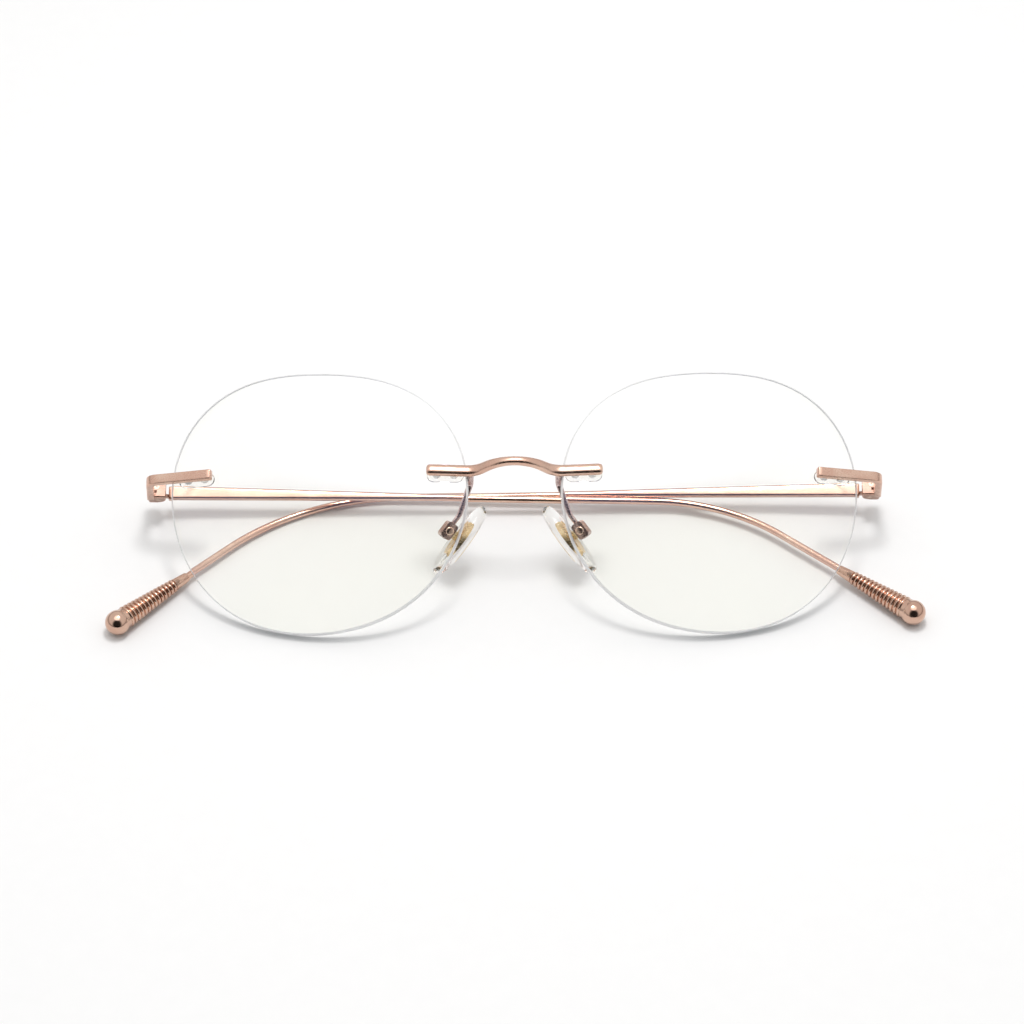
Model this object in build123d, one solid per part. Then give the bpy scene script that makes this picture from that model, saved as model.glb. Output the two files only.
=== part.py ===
"""Rimless eyeglasses, folded and lying on a table, as an assembly of separate pieces.

Every piece is drawn for the wearer's left side in the worn attitude:
X runs across the face (+X is the wearer's left), Y runs back towards the ears, Z is up.
The right side is the mirror image. Then the whole assembly is leaned back about X
until it rests on the lower edges of its lenses and on the two ball ends of its temples.
"""
from build123d import *
from math import sin, cos, tan, radians, pi, sqrt, asin, degrees
import os

os.makedirs("parts", exist_ok=True)

# ---- driving dimensions (mm, degrees) ----

# lens: a 53 mm rounded shape on a 4 base curve
lens_mean_radius = 24.9
lens_widening = 1.48           # makes it wider than tall
lens_shoulder = 0.52           # lifts the widest line above the centre
lens_squareness = 0.30
lens_nasal_taper = 0.19
lens_points = 36
lens_curve = 130.0             # front surface radius
lens_thickness = 1.8
lens_centre_x = 34.65          # half the distance between lens centres
face_form = 6.2                # each lens turns back towards the temple
pantoscopic = 7.4              # the lens bottoms turn towards the cheeks

# drilled mounts, heights and places on the lens
nasal_mount = -22.6
nasal_height = 4.35
temporal_mount = 21.8
temporal_height = 4.5
post_spacing = 3.0
post_diameter = 1.0
sleeve_bore = 1.04
sleeve_tube = 1.38
hole_diameter = 1.42
flange_length = 6.4
flange_height = 2.4
flange_thickness = 0.6
flange_gap = 0.17              # the flange is flat, the lens behind it hollow
post_proud = 0.15
seat_gap = 0.08                # between a bar and the curved lens

# bridge: an oval bar that arches forwards and up between the lenses
bridge_height = 2.0
bridge_depth = 1.5
bridge_bar_reach = 3.45        # outwards from the middle of its posts
bridge_bend_x = 6.9
bridge_slope = 40.0
bridge_bend_radius = 4.0
bridge_crest_radius = 7.5
bridge_arch_tilt = 12.0        # the arch's plane, above straight ahead

# endpiece: a flat bar that wraps back to the hinge
bar_height = 1.8
bar_depth = 1.3
bar_inner_reach = 3.5
bar_half_width = 64.65         # at the outer corner of the bar
frame_half_width = 65.3        # at the hinge
strip_thickness = 1.25
endpiece_bend = 2.4

# hinge
hinge_x = 63.46
hinge_y = 15.2
hinge_z = 6.38
hinge_lean_left = 0.28         # the two axes lean apart, so the folded temples cross clear
hinge_lean_right = -0.79
block_inner = 1.34             # from the axis to the inner side, and the lug radius
block_front = 1.6
block_back = 1.5
block_top = 1.5
block_bottom = 1.65
slot_top = -0.28
slot_bottom = -0.84
web_depth = 0.4                # joins the two lugs in front of the slot
tongue_thickness = 0.5
tongue_radius = 1.12
tongue_reach = 5.2
tongue_tail = 0.9
screw_diameter = 1.0
screw_fit = 0.03
screw_head_diameter = 1.9
screw_head_height = 0.5
rivet_diameter = 0.9
rivet_length = 0.75
rivet_height = 0.3
rivet_proud = 0.06

# temples
temple_offset = 1.14           # arm centre line, outside the hinge axis
temple_start = 1.75
arm_height = 2.45
arm_thickness = 1.35
wire_diameter = 1.25
taper_end = 50.0
fold_angle_left = 2.91
fold_angle_right = 1.42
# each ear bend is set by hand: where it starts, its radius and angle, and then
# the temple's length from hinge axis to the middle of the ball
ear_bend = {"left": (83.5, 41.2, 47.1, 143.7), "right": (88.7, 33.8, 40.6, 141.7)}

# ribbed tip
ball_radius = 2.2
tip_length = 16.0              # from its mouth to the middle of the ball
tip_mouth_radius = 0.86
tip_end_radius = 2.03
plain_length = 3.0
ring_count = 14
ring_height = 0.2
bore_depth = 10.0
bore_fit = 0.02

# nose pad
pad_length = 14.6
pad_width = 7.4
pad_thickness = 2.6
pad_centre = Vector(9.6, 6.7, -5.7)
pad_top = Vector(-0.60, -0.17, 0.78).normalized()
pad_splay = 15.0
core_length = 7.0
core_width = 3.6
core_thickness = 0.5
tab_width = 1.5
tab_thickness = 0.8
tab_below_screw = 0.6
box_offset = 2.75              # pad centre to the screw
box_length = 3.0
box_width = 2.6
box_depth = 2.0
box_slot = 0.9
box_floor = 0.25
pad_screw_diameter = 0.8
pad_screw_head = 1.5
arm_wire = 0.9
pad_arm_x = 7.7                # where it leaves the back of the bridge
pad_arm_elbow = Vector(pad_arm_x, 2.5, 3.3)
pad_arm_lead_in = 1.8

lean = 63.9                    # worn attitude to table attitude


# ---- frames ----

def turn(x=0, y=0, z=0):
    here = (0, 0, 0)
    return Location(here, (x, 0, 0)) * Location(here, (0, y, 0)) * Location(here, (0, 0, z))


lens_frame = turn(x=pantoscopic) * Location((lens_centre_x, 0, 0)) * turn(z=face_form)


def at(location, point):
    return (location * Location(tuple(point))).position


def lens_outline(angle):
    radius = lens_mean_radius + lens_widening * cos(2 * angle) + lens_shoulder * sin(3 * angle)
    radius -= lens_squareness * cos(4 * angle) + lens_nasal_taper * cos(3 * angle)
    return radius * cos(angle), radius * sin(angle)


def sag(across, up):
    return (across ** 2 + up ** 2) / (2 * lens_curve)


def mount_frame(across, height):
    """A frame on the front of the lens, Y into it, level in the worn attitude."""
    point = at(lens_frame, (across, sag(across, height), height))
    plan_angle = face_form + degrees(asin(across / lens_curve))
    return Location(tuple(point)) * turn(z=plan_angle)


nasal_frame = mount_frame(nasal_mount, nasal_height)
temporal_frame = mount_frame(temporal_mount, temporal_height)


def rounded_path(points, radii):
    """Straight runs joined by tangent arcs, in three dimensions."""
    points = [Vector(*p) for p in points]
    edges = []
    start = points[0]
    for i, radius in enumerate(radii, start=1):
        corner = points[i]
        back = (points[i - 1] - corner).normalized()
        ahead = (points[i + 1] - corner).normalized()
        half = radians(back.get_angle(ahead)) / 2
        reach = radius / tan(half)
        middle = (back + ahead).normalized() * (radius / sin(half) - radius)
        edges.append(Line(start, corner + back * reach))
        edges.append(ThreePointArc(corner + back * reach, corner + middle, corner + ahead * reach))
        start = corner + ahead * reach
    edges.append(Line(start, points[-1]))
    return Wire(edges)


def rod(start, end, radius):
    axis = end - start
    return extrude(Plane(origin=start, z_dir=axis) * Circle(radius), axis.length)


def ease(solid, edges, radius):
    """Fillets the edges, or leaves them sharp where the kernel can't."""
    try:
        return fillet(edges, radius)
    except ValueError:
        print("left sharp:", radius)
        return solid


# ---- lens ----

def post_places():
    return [-post_spacing / 2, post_spacing / 2]


def lens():
    steps = [2 * pi * i / lens_points for i in range(lens_points)]
    rim = Spline([(*lens_outline(a),) for a in steps], periodic=True)
    face = Plane.XZ.offset(-10) * make_face(rim)
    prism = extrude(face, 20)
    shell = Pos(0, lens_curve, 0) * (Sphere(lens_curve) - Sphere(lens_curve - lens_thickness))
    blank = lens_frame * (prism & shell)
    for frame in (nasal_frame, temporal_frame):
        for x in post_places():
            blank -= rod(at(frame, (x, -3, 0)), at(frame, (x, 6, 0)), hole_diameter / 2)
    return blank


def sleeve(frame):
    """A clear plug: two thin tubes through the lens, on an oval flange behind it."""
    back = lens_thickness + flange_gap
    middle = at(frame, (0, back, 0))
    along = at(frame, (1, back, 0)) - middle
    inwards = at(frame, (0, back + 1, 0)) - middle
    plane = Plane(origin=middle, x_dir=along, z_dir=inwards)
    plug = extrude(plane * SlotOverall(flange_length, flange_height), flange_thickness)
    plug = ease(plug, plug.faces().sort_by(Axis(plane.origin, plane.z_dir))[-1].edges(), 0.25)
    for x in post_places():
        plug += rod(at(frame, (x, 0.1, 0)), at(frame, (x, back + 0.1, 0)), sleeve_tube / 2)
    for x in post_places():
        plug -= rod(at(frame, (x, -1, 0)), at(frame, (x, 5, 0)), sleeve_bore / 2)
    return plug


def posts(frame, depth):
    end = lens_thickness + flange_gap + flange_thickness + post_proud
    return [rod(at(frame, (x, -depth / 2, 0)), at(frame, (x, end, 0)), post_diameter / 2)
            for x in post_places()]


# ---- bridge ----

def bridge():
    bar_y = -seat_gap - bridge_depth / 2
    tilt = radians(bridge_arch_tilt)
    outer = at(nasal_frame, (bridge_bar_reach, bar_y, 0))
    bend = at(nasal_frame, (bridge_bend_x - nasal_frame.position.X, bar_y, 0))
    outer.Z = bend.Z + (bend.Y - outer.Y) * tan(tilt)
    rise = bend.X * tan(radians(bridge_slope))
    crest = Vector(0, bend.Y - rise * cos(tilt), bend.Z + rise * sin(tilt))
    mirrored = [Vector(-p.X, p.Y, p.Z) for p in (bend, outer)]
    path = rounded_path([outer, bend, crest, *mirrored],
                        [bridge_bend_radius, bridge_crest_radius, bridge_bend_radius])
    section = Plane(origin=outer, x_dir=(0, 0, 1), z_dir=(bend - outer)) * Ellipse(
        bridge_height / 2, bridge_depth / 2)
    bar = sweep(section, path)
    ends = [f for f in bar.faces() if abs(f.center().X) > abs(outer.X) - 0.05]
    bar = ease(bar, [e for f in ends for e in f.edges()], 0.55)
    for post in posts(nasal_frame, bridge_depth):
        bar += post
        bar += mirror(post, about=Plane.YZ)
    return bar


# ---- endpiece and hinge ----

def endpiece():
    front = [(-bar_inner_reach, -seat_gap - bar_depth), (-bar_inner_reach, -seat_gap)]
    inner_end = [at(temporal_frame, (x, y, 0)) for x, y in front]
    along = at(temporal_frame, (1, 0, 0)) - at(temporal_frame, (0, 0, 0))
    level = inner_end[0].Z

    def run_to(point, x):
        return point + along * ((x - point.X) / along.X)

    tail = hinge_y - block_front
    corners = [inner_end[1],
               inner_end[0],
               run_to(inner_end[0], bar_half_width),
               Vector(frame_half_width, tail),
               Vector(frame_half_width - strip_thickness, tail),
               run_to(inner_end[1], bar_half_width - strip_thickness)]
    outline = Polyline([(p.X, p.Y) for p in corners], close=True)
    body = extrude(Plane.XY.offset(level - bar_height / 2) * make_face(outline), bar_height)
    upright = body.edges().filter_by(Axis.Z)
    corner = upright.sort_by_distance((corners[2].X, corners[2].Y, level))[0]
    body = fillet(corner, endpiece_bend)
    crook = body.edges().filter_by(Axis.Z).sort_by_distance((corners[5].X, corners[5].Y, level))[0]
    body = fillet(crook, endpiece_bend - strip_thickness)
    flats = body.faces().sort_by(Axis.Z)
    body = ease(body, flats[-1].edges() + flats[0].edges(), 0.12)
    for post in posts(temporal_frame, bar_depth):
        body += post
    return body


def hinge_frame(side):
    lean_angle = hinge_lean_left if side == "left" else hinge_lean_right
    return Location((hinge_x, hinge_y, hinge_z)) * turn(y=lean_angle)


def temple_frame(side):
    """Folded: X along the arm, Y towards the inner face, Z up the hinge axis."""
    fold = fold_angle_left if side == "left" else fold_angle_right
    return hinge_frame(side) * turn(z=180 - fold)


def hinge_front(side):
    outer = frame_half_width - hinge_x
    height = block_top + block_bottom
    plan = Rectangle(outer, block_front + block_back, align=(Align.MIN, Align.MIN)).moved(
        Location((0, -block_front)))
    plan += Rectangle(block_inner, block_front, align=(Align.MAX, Align.MAX))
    plan += Circle(block_inner)
    block = extrude(Plane.XY.offset(-block_bottom) * plan, height)
    rim = block.edges().filter_by(Axis.Z)
    block = ease(block, [e for e in rim if e.center().X > outer - 0.1], 0.5)
    block = ease(block, block.faces().sort_by(Axis.Z)[0].edges(), 0.3)
    slot_height = slot_top - slot_bottom
    slot = Pos(0, 0, (slot_top + slot_bottom) / 2) * Box(12, 12, slot_height)
    slot -= Pos(-block_inner, -block_front, 0) * Box(
        block_inner + 0.15, web_depth, 8, align=(Align.MIN, Align.MIN, Align.CENTER))
    block -= slot
    block -= Cylinder(screw_diameter / 2 + screw_fit, 12)
    block -= Pos(0, 0, block_top - screw_head_height) * Cylinder(
        screw_head_diameter / 2 + 0.05, 4, align=(Align.CENTER, Align.CENTER, Align.MIN))
    block -= extrude(rivet_plane(0) * Circle(rivet_diameter / 2 + 0.01), rivet_length)
    return hinge_frame(side) * block


def rivet_plane(proud):
    return Plane(origin=(0.15, -block_front - proud, rivet_height), x_dir=(1, 0, 0), z_dir=(0, 1, 0))


def hinge_rivet(side):
    pin = extrude(rivet_plane(rivet_proud) * Circle(rivet_diameter / 2), rivet_length + rivet_proud - 0.01)
    pin -= extrude(rivet_plane(rivet_proud) * Circle(rivet_diameter / 5), 0.15)
    return hinge_frame(side) * pin


def hinge_screw(side):
    shank_top = block_top - screw_head_height
    shank = Pos(0, 0, -block_bottom) * Cylinder(
        screw_diameter / 2, block_bottom + shank_top + 0.02, align=(Align.CENTER, Align.CENTER, Align.MIN))
    head = Pos(0, 0, shank_top + 0.02) * Cylinder(
        screw_head_diameter / 2, screw_head_height - 0.02, align=(Align.CENTER, Align.CENTER, Align.MIN))
    head = ease(head, head.faces().sort_by(Axis.Z)[-1].edges(), 0.12)
    head -= Pos(0, 0, block_top) * Box(4, 0.3, 0.4)
    return hinge_frame(side) * (shank + head)


def hinge_tongue(side):
    """An eye round the screw, and a tail that is soldered into the end of the arm."""
    lift = (slot_top + slot_bottom) / 2
    near = -temple_offset + tongue_tail / 2
    far = -temple_offset - tongue_tail / 2
    tail = Polyline([(0, tongue_radius), (0, -tongue_radius), (temple_start, far), (tongue_reach, far),
                     (tongue_reach, near), (temple_start, near)], close=True)
    plan = make_face(tail) + Circle(tongue_radius)
    tongue = extrude(Plane.XY.offset(lift - tongue_thickness / 2) * plan, tongue_thickness)
    tongue -= Cylinder(screw_diameter / 2 + screw_fit, 12)
    return temple_frame(side) * tongue


# ---- temple and tip ----

def curl_plane(curl):
    return Vector(0, sin(radians(curl)), -cos(radians(curl)))


def temple_points(side, curl):
    """Corners of the arm's centre line and its last direction, in the temple frame."""
    bend_start, bend_radius, bend_angle, temple_length = ear_bend[side]
    half = radians(bend_angle) / 2
    reach = bend_radius * tan(half)
    start = Vector(temple_start, -temple_offset, 0)
    corner = Vector(bend_start + reach, -temple_offset, 0)
    ahead = Vector(1, 0, 0) * cos(2 * half) + curl_plane(curl) * sin(2 * half)
    straight_tail = temple_length - bend_start - bend_radius * 2 * half
    ball = corner + ahead * (reach + straight_tail)
    return start, corner, ball, ahead


def height_on_table(point):
    return point.Z * cos(radians(lean)) - point.Y * sin(radians(lean))


def lowest_lens_point():
    """The lens rests on the lower edge of its back surface."""
    inner = lens_curve - lens_thickness
    rims = [lens_outline(2 * pi * i / 720) for i in range(720)]
    edge = [(u, lens_curve - sqrt(inner ** 2 - u ** 2 - v ** 2), v) for u, v in rims]
    return min(height_on_table(at(lens_frame, point)) for point in edge)


def resting_curl(side):
    """How far the ear bend turns inwards, so that the ball just reaches the table."""
    target = lowest_lens_point() + ball_radius
    low, high = 0.0, 60.0
    for _ in range(40):
        curl = (low + high) / 2
        height = height_on_table(at(temple_frame(side), temple_points(side, curl)[2]))
        if height > target:
            high = curl
        else:
            low = curl
    return curl


def temple(side):
    start, corner, ball, ahead = temple_points(side, resting_curl(side))
    bend_radius = ear_bend[side][1]
    taper = Vector(taper_end, -temple_offset, 0)
    tip_mouth = ball - ahead * tip_length
    wire_end = tip_mouth + ahead * (bore_depth - 0.3)
    first = Plane(origin=start, x_dir=(0, 1, 0), z_dir=(1, 0, 0))
    last = Plane(origin=taper, x_dir=(0, 1, 0), z_dir=(1, 0, 0))
    slim = wire_diameter - 0.1
    flat_arm = loft([first * RectangleRounded(arm_thickness, arm_height, 0.35),
                     last * RectangleRounded(slim, slim, slim / 2 - 0.05)])
    wire_start = taper - Vector(1, 0, 0)
    path = rounded_path([wire_start, corner, wire_end], [bend_radius])
    wire = sweep(Plane(origin=wire_start, z_dir=(1, 0, 0)) * Circle(wire_diameter / 2), path)
    arm = flat_arm + wire
    pocket = Pos(temple_start - 1, -temple_offset, (slot_top + slot_bottom) / 2) * Box(
        tongue_reach - temple_start + 1.02, tongue_tail + 0.04, tongue_thickness + 0.04,
        align=(Align.MIN, Align.CENTER, Align.CENTER))
    return temple_frame(side) * (arm - pocket)


def temple_tip(side):
    ball, ahead = temple_points(side, resting_curl(side))[2:]
    axis_frame = Plane(origin=ball, x_dir=ahead, z_dir=ahead.cross(Vector(0, 0, 1)))
    ring_zone = tip_length - plain_length - ball_radius * 0.75
    pitch = ring_zone / ring_count

    def cone_radius(x):
        return tip_end_radius + (tip_mouth_radius - tip_end_radius) * (-x / tip_length)

    first_ring = -tip_length + plain_length
    edges = [Line((-tip_length, 0), (-tip_length, tip_mouth_radius)),
             Line((-tip_length, tip_mouth_radius), (first_ring, cone_radius(first_ring)))]
    for i in range(ring_count):
        x0 = first_ring + i * pitch
        x1 = x0 + pitch
        top = (x0 + x1) / 2
        crown = (top, cone_radius(top) + ring_height)
        edges.append(ThreePointArc((x0, cone_radius(x0)), crown, (x1, cone_radius(x1))))
    x1 = first_ring + ring_count * pitch
    neck = cone_radius(x1)
    on_ball = -sqrt(ball_radius ** 2 - neck ** 2)
    edges.append(Line((x1, neck), (on_ball, neck)))
    edges.append(ThreePointArc((on_ball, neck), (0, ball_radius), (ball_radius, 0)))
    edges.append(Line((ball_radius, 0), (-tip_length, 0)))
    profile = make_face(edges)
    tip = revolve(axis_frame * profile, Axis(ball, ahead))
    mouth = ball - ahead * tip_length
    tip -= rod(mouth - ahead, mouth + ahead * bore_depth, wire_diameter / 2 + bore_fit)
    return temple_frame(side) * tip


# ---- nose pads ----

def pad_normal():
    towards_nose = Vector(-cos(radians(pad_splay)), sin(radians(pad_splay)), 0)
    return (towards_nose - pad_top * towards_nose.dot(pad_top)).normalized()


pad_frame = Plane(origin=pad_centre, x_dir=pad_top, z_dir=pad_normal()).location
# in the pad frame: X up the pad, Y across it, Z towards the nose


def nose_pad():
    outline = Ellipse(pad_length / 2, pad_width / 2)
    body = extrude(Plane.XY.offset(-pad_thickness / 2) * outline, pad_thickness)
    body = ease(body, body.edges(), pad_thickness / 2 - 0.35)
    pocket = Ellipse(core_length / 2 + 0.01, core_width / 2 + 0.01)
    body -= extrude(Plane.XY.offset(-core_thickness / 2 - 0.01) * pocket, core_thickness + 0.02)
    body -= Pos(0, 0, -pad_thickness) * Box(tab_width + 0.02, tab_thickness + 0.02, 2 * pad_thickness)
    return pad_frame * body


def pad_core():
    oval = Ellipse(core_length / 2, core_width / 2)
    plate = extrude(Plane.XY.offset(-core_thickness / 2) * oval, core_thickness)
    tab_end = -box_offset - tab_below_screw
    plate += Box(tab_width, tab_thickness, -tab_end, align=(Align.CENTER, Align.CENTER, Align.MAX))
    hole = Pos(0, 0, -box_offset) * turn(x=90) * Cylinder(pad_screw_diameter / 2 + 0.03, 4)
    return pad_frame * (plate - hole)


def pad_box():
    box = Pos(0, 0, -box_offset) * Box(box_length, box_width, box_depth)
    box = ease(box, box.edges().filter_by(Axis.Y), 0.5)
    box -= Pos(0, 0, -box_offset + box_depth / 2) * Box(box_length + 1, box_slot, 2 * (box_depth - box_floor))
    box -= Pos(0, 0, -box_offset) * turn(x=90) * Cylinder(pad_screw_diameter / 2 + 0.02, 6)
    return pad_frame * box


def pad_screw():
    across = box_width / 2
    shank = turn(x=90) * Cylinder(pad_screw_diameter / 2, 2 * across)
    head = Pos(0, -across - 0.25, 0) * turn(x=90) * Cylinder(pad_screw_head / 2, 0.5)
    head = ease(head, head.faces().sort_by(Axis.Y)[0].edges(), 0.22)
    return pad_frame * Pos(0, 0, -box_offset) * (shank + head)


def pad_arm():
    root = at(nasal_frame, (pad_arm_x - nasal_frame.position.X, -seat_gap - 0.12, -0.5))
    door = at(pad_frame, (box_length / 2, 0, -box_offset))
    lead_in = at(pad_frame, (box_length / 2 + pad_arm_lead_in, 0, -box_offset))
    points = [root, pad_arm_elbow, lead_in, door]
    path = rounded_path(points, [1.0, 2.5])
    section = Plane(origin=root, z_dir=points[1] - root) * Circle(arm_wire / 2)
    return sweep(section, path)


# ---- assembly ----

def build():
    left = {"lens": lens(),
            "bridge_sleeve": sleeve(nasal_frame),
            "endpiece_sleeve": sleeve(temporal_frame),
            "endpiece": endpiece(),
            "pad_arm": pad_arm(),
            "pad_box": pad_box(),
            "pad_screw": pad_screw(),
            "pad_core": pad_core(),
            "nose_pad": nose_pad()}
    nodes = {"bridge": bridge()}
    for name, shape in left.items():
        nodes["left_" + name] = shape
        nodes["right_" + name] = mirror(shape, about=Plane.YZ)
    sided = {"hinge_front": hinge_front, "hinge_rivet": hinge_rivet, "hinge_screw": hinge_screw,
             "hinge_tongue": hinge_tongue, "temple": temple, "temple_tip": temple_tip}
    for name, maker in sided.items():
        nodes["left_" + name] = maker("left")
        nodes["right_" + name] = mirror(maker("right"), about=Plane.YZ)
    return nodes


nodes = build()
leaned = {name: turn(x=-lean) * shape for name, shape in nodes.items()}
box = Compound(children=[Compound(shape.solids()) for shape in leaned.values()]).bounding_box()
settle = Location((-box.center().X, -box.center().Y, -box.min.Z))
for name, shape in leaned.items():
    placed = settle * shape
    solids = placed.solids()
    export_step(solids[0] if len(solids) == 1 else Compound(solids), f"parts/{name}.step")

to_table = settle * turn(x=-lean)
print("table box", box.size, "shift", settle.position)
for side in ("left", "right"):
    mirror_x = 1 if side == "left" else -1
    rocker = pad_frame * Pos(0, 0, -box_offset)
    for label, frame, axis in (("hinge", hinge_frame(side), (0, 0, 1)), ("pad", rocker, (0, 1, 0))):
        start, end = at(frame, (0, 0, 0)), at(frame, axis)
        start, end = [at(to_table, (mirror_x * p.X, p.Y, p.Z)) for p in (start, end)]
        axis_way = tuple(round(v, 6) for v in end - start)
        print(side, label, "at", tuple(round(v, 4) for v in start), "axis", axis_way)
    print(side, "curl", round(resting_curl(side), 2))
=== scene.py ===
# %% [markdown]
# # Rimless eyeglasses, folded on a table
# The object is a pair of drilled rimless glasses: two lenses with no frame round them, held by a bridge,
# two endpieces and clear plugs, with slim temples that end in ribbed tips with a ball.
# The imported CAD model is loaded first, because it fixes the size and place of every piece. Each visible
# piece is then either a CAD node with a better material, or a finer mesh that stands for one.

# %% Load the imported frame
import math
import bmesh
import bpy
from mathutils import Matrix, Vector


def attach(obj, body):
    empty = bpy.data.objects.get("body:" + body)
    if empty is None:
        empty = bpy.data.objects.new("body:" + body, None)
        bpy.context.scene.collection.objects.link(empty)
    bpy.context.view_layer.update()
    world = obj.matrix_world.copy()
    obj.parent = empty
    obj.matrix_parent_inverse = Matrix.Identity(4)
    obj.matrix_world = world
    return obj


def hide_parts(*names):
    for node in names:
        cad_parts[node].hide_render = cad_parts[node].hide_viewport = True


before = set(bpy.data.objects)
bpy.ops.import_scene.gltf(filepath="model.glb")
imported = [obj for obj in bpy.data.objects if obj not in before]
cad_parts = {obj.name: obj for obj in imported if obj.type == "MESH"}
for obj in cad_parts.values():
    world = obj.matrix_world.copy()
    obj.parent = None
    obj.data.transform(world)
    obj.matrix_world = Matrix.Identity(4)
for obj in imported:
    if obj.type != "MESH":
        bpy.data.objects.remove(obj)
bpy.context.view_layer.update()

# %% [markdown]
# ## One set of frames for every piece
# Glasses are easiest to describe as worn: X across the face, Y back to the ears, Z up, in millimetres.
# The whole assembly then leans back until it rests on the lens edges and the two balls. Drawing in the
# worn attitude and moving each finished mesh onto the table keeps every piece on the CAD's frame, and
# the right side is the left one mirrored.

# %% From the worn attitude to the table
MM = 0.001
LEAN = 63.9
SETTLE = Vector((-0.144535, -1.3351, 16.7046))


def turned(x=0, y=0, z=0):
    return (Matrix.Rotation(math.radians(x), 4, "X")
            @ Matrix.Rotation(math.radians(y), 4, "Y")
            @ Matrix.Rotation(math.radians(z), 4, "Z"))


def to_table(side):
    """Millimetres as worn to metres on the table; the right side is mirrored first."""
    flip = Matrix.Diagonal((-1, 1, 1, 1)) if side == "right" else Matrix.Identity(4)
    return Matrix.Scale(MM, 4) @ Matrix.Translation(SETTLE) @ turned(x=-LEAN) @ flip


SIDES = ("left", "right")
print("a point on the brow line lies at", [round(v, 4) for v in to_table("left") @ Vector((0, 0, 5))])

# %% The lens frame and the two mounts drilled in each lens
LENS_CURVE = 130.0
LENS_THICKNESS = 1.8
PANTOSCOPIC = 7.4
FACE_FORM = 6.2
LENS_CENTRE_X = 34.65
lens_frame = turned(x=PANTOSCOPIC) @ Matrix.Translation((LENS_CENTRE_X, 0, 0)) @ turned(z=FACE_FORM)


def mount_frame(across, height):
    """A frame on the lens front, Y into the lens, level as worn."""
    sag = (across ** 2 + height ** 2) / (2 * LENS_CURVE)
    point = lens_frame @ Vector((across, sag, height))
    plan = FACE_FORM + math.degrees(math.asin(across / LENS_CURVE))
    return Matrix.Translation(point) @ turned(z=plan)


nasal_frame = mount_frame(-22.6, 4.35)
temporal_frame = mount_frame(21.8, 4.5)
POST_PLACES = (-1.5, 1.5)
SEAT_GAP = 0.08
print("nasal mount at", [round(v, 2) for v in nasal_frame.translation])

# %% The hinge and temple frames
HINGE = Vector((63.46, 15.2, 6.38))
HINGE_LEAN = {"left": 0.28, "right": -0.79}
FOLD = {"left": 2.91, "right": 1.42}
CURL = {"left": 31.58, "right": 28.49}


def temple_frame(side):
    """Folded: X along the arm, Y towards its inner face, Z up the hinge axis."""
    return Matrix.Translation(HINGE) @ turned(y=HINGE_LEAN[side]) @ turned(z=180 - FOLD[side])


# %% [markdown]
# ## Helpers for swept metal
# Nearly all the metal is bar or wire: one section carried along straight runs and tangent arcs.
# A curve object with a bevel could do it, but its section can't change from a flat oval to a round wire,
# so the rings of points are placed here, one by one, and skinned with quads. A small inset on the first
# and last rings breaks the end edges the way a tumbled metal part has them.

# %% Paths
def rounded_path(points, radii, step=0.6):
    """Straight runs joined by tangent arcs, as a list of points."""
    points = [Vector(p) for p in points]
    path = [points[0]]
    for i, radius in enumerate(radii, start=1):
        corner = points[i]
        back = (points[i - 1] - corner).normalized()
        ahead = (points[i + 1] - corner).normalized()
        half = back.angle(ahead) / 2
        centre = corner + (back + ahead).normalized() * (radius / math.sin(half))
        start = corner + back * (radius / math.tan(half)) - centre
        sweep = math.pi - 2 * half
        axis = start.cross(ahead).normalized()
        count = max(6, int(radius * sweep / step))
        for k in range(count + 1):
            path.append(centre + Matrix.Rotation(sweep * k / count, 3, axis) @ start)
    path.append(points[-1])
    return path


def with_end_rings(path, bevel):
    """Adds the points that a broken end edge needs, and says how far each ring is inset."""
    first = (path[1] - path[0]).normalized()
    last = (path[-1] - path[-2]).normalized()
    steps = [(0.0, bevel), (0.3 * bevel, 0.3 * bevel), (bevel, 0.0)]
    head = [(path[0] + first * along, inset) for along, inset in steps]
    tail = [(path[-1] - last * along, inset) for along, inset in reversed(steps)]
    return head + [(p, 0.0) for p in path[1:-1]] + tail


def denser(path, step):
    """Puts points along the long straight runs."""
    out = [path[0]]
    for a, b in zip(path, path[1:]):
        count = max(1, int((b - a).length / step))
        out += [a.lerp(b, (k + 1) / count) for k in range(count)]
    return out


# %% Sections and skins
def oval(half_width, half_height, power, count=32):
    """A closed section between an ellipse (power 2) and a rounded rectangle (power 6)."""
    ring = []
    for k in range(count):
        t = 2 * math.pi * k / count
        c, s = math.cos(t), math.sin(t)
        ring.append((half_width * math.copysign(abs(c) ** (2 / power), c),
                     half_height * math.copysign(abs(s) ** (2 / power), s)))
    return ring


def swept_rings(path, up, section_at, bevel):
    """Rings of points along a path. section_at(distance along) gives half width, half height, power."""
    stations = with_end_rings(path, bevel)
    rings, run = [], 0.0
    for i, (point, inset) in enumerate(stations):
        before = stations[max(i - 1, 0)][0]
        after = stations[min(i + 1, len(stations) - 1)][0]
        tangent = (after - before).normalized()
        across = tangent.cross(Vector(up)).normalized()
        rise = across.cross(tangent)
        run += (point - before).length
        half_width, half_height, power = section_at(run)
        ring = oval(half_width - inset, half_height - inset, power)
        rings.append([point + across * x + rise * y for x, y in ring])
    return rings


def round_rod(start, end, radius, bevel=0.08):
    start, end = Vector(start), Vector(end)
    up = (0, 0, 1) if abs((end - start).normalized().z) < 0.9 else (1, 0, 0)
    return swept_rings([start, start.lerp(end, 0.5), end], up, lambda run: (radius, radius, 2), bevel)


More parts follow.
